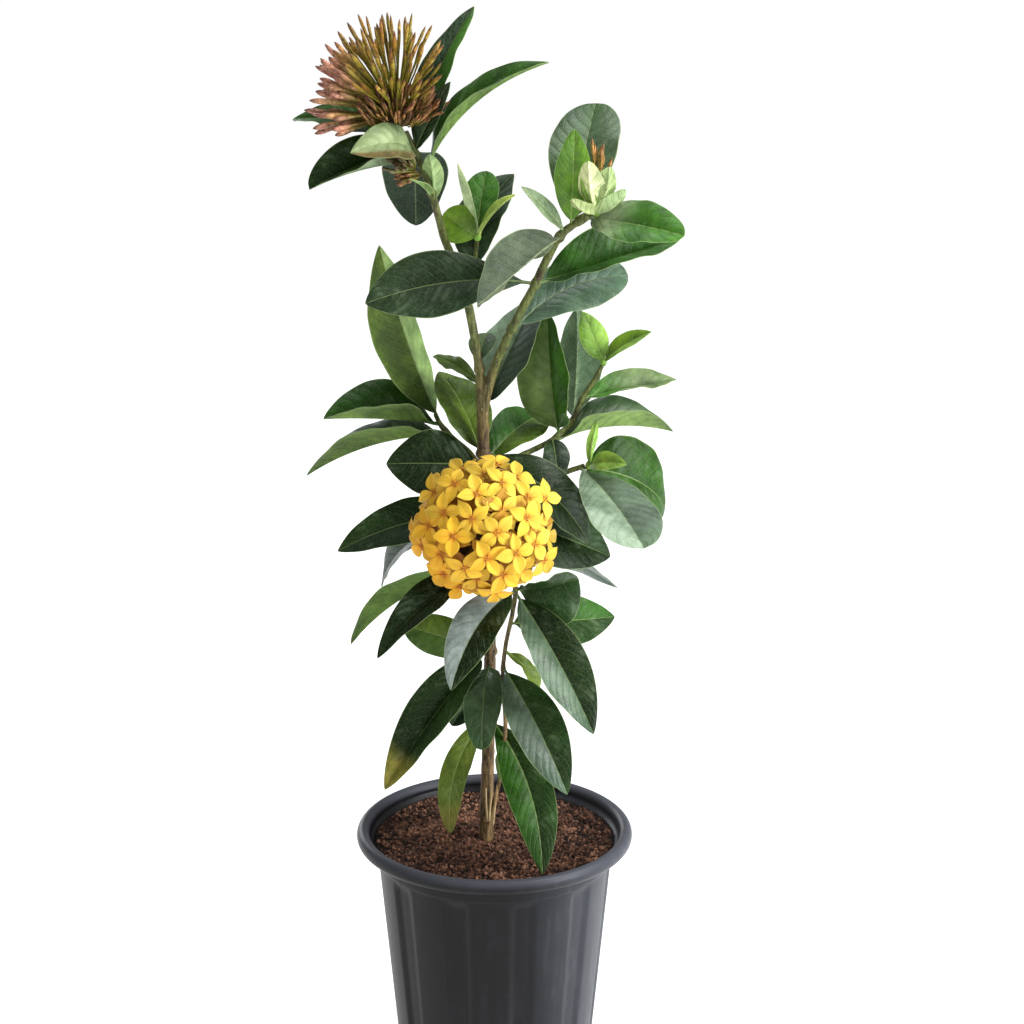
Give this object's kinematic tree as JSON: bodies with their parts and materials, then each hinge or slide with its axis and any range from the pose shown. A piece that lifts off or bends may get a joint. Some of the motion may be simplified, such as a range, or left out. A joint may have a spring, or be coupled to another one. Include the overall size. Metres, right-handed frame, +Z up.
{
  "type": "potted ixora",
  "caption": "Flowering ixora in a fluted nursery pot: a forked woody stem carries broad glossy leaves, a rounded head of small star-like flowers and a dome of long unopened buds.",
  "frame": {"origin": "centre of the pot's flat underside, on the floor", "axes": "+Z up along the plant, -Y towards the front, where the open flower head faces, +X to the right seen from the front"},
  "size_m": [0.2687, 0.1996, 0.78],
  "materials": {
    "pot": "satin moulded plastic",
    "soil": "loose fibrous potting mix",
    "stem": "smooth young bark",
    "leaf": "glossy leaf",
    "young_leaf": "soft new leaf",
    "petal": "matt petal",
    "bud": "matt bud"
  },
  "bodies": {
    "root": {"pot": "pot", "soil": "soil", "stem": "stem", "leaf_crown_1": "leaf", "leaf_crown_2": "leaf", "leaf_crown_4": "leaf", "leaf_crown_5": "leaf", "leaf_crown_6": "leaf", "leaf_crown_7": "leaf", "leaf_left_1": "leaf", "leaf_right_1": "leaf", "leaf_right_3": "leaf", "leaf_right_4": "young_leaf", "leaf_right_5": "leaf", "leaf_right_6": "leaf", "leaf_right_7": "leaf", "leaf_right_8": "leaf", "leaf_back_2": "leaf", "leaf_east_1": "leaf", "leaf_east_2": "leaf", "leaf_east_3": "leaf", "leaf_east_4": "leaf", "leaf_twig_1": "leaf", "leaf_twig_2": "leaf", "leaf_west_1": "leaf", "leaf_west_2": "leaf", "leaf_west_3": "leaf", "leaf_mid_1": "leaf", "leaf_mid_2": "leaf", "leaf_mid_3": "leaf", "leaf_mid_4": "leaf", "leaf_mid_5": "leaf", "leaf_mid_6": "leaf", "leaf_mid_7": "leaf", "leaf_mid_8": "leaf", "leaf_mid_9": "leaf", "leaf_mid_10": "leaf", "leaf_fork_1": "leaf", "leaf_fork_2": "leaf", "leaf_fork_3": "leaf", "leaf_bloom_1": "leaf", "leaf_bloom_2": "leaf", "leaf_bloom_3": "leaf", "leaf_bloom_4": "leaf", "leaf_low_1": "leaf", "leaf_low_2": "leaf", "leaf_low_3": "leaf", "leaf_low_4": "leaf", "leaf_low_5": "leaf", "leaf_low_6": "leaf", "leaf_low_7": "leaf", "back_tuft": "young_leaf", "right_tuft": "young_leaf", "east_tuft": "young_leaf", "twig_tuft": "young_leaf", "flower_head": "petal", "bud_head": "bud"}
  },
  "joints": []
}
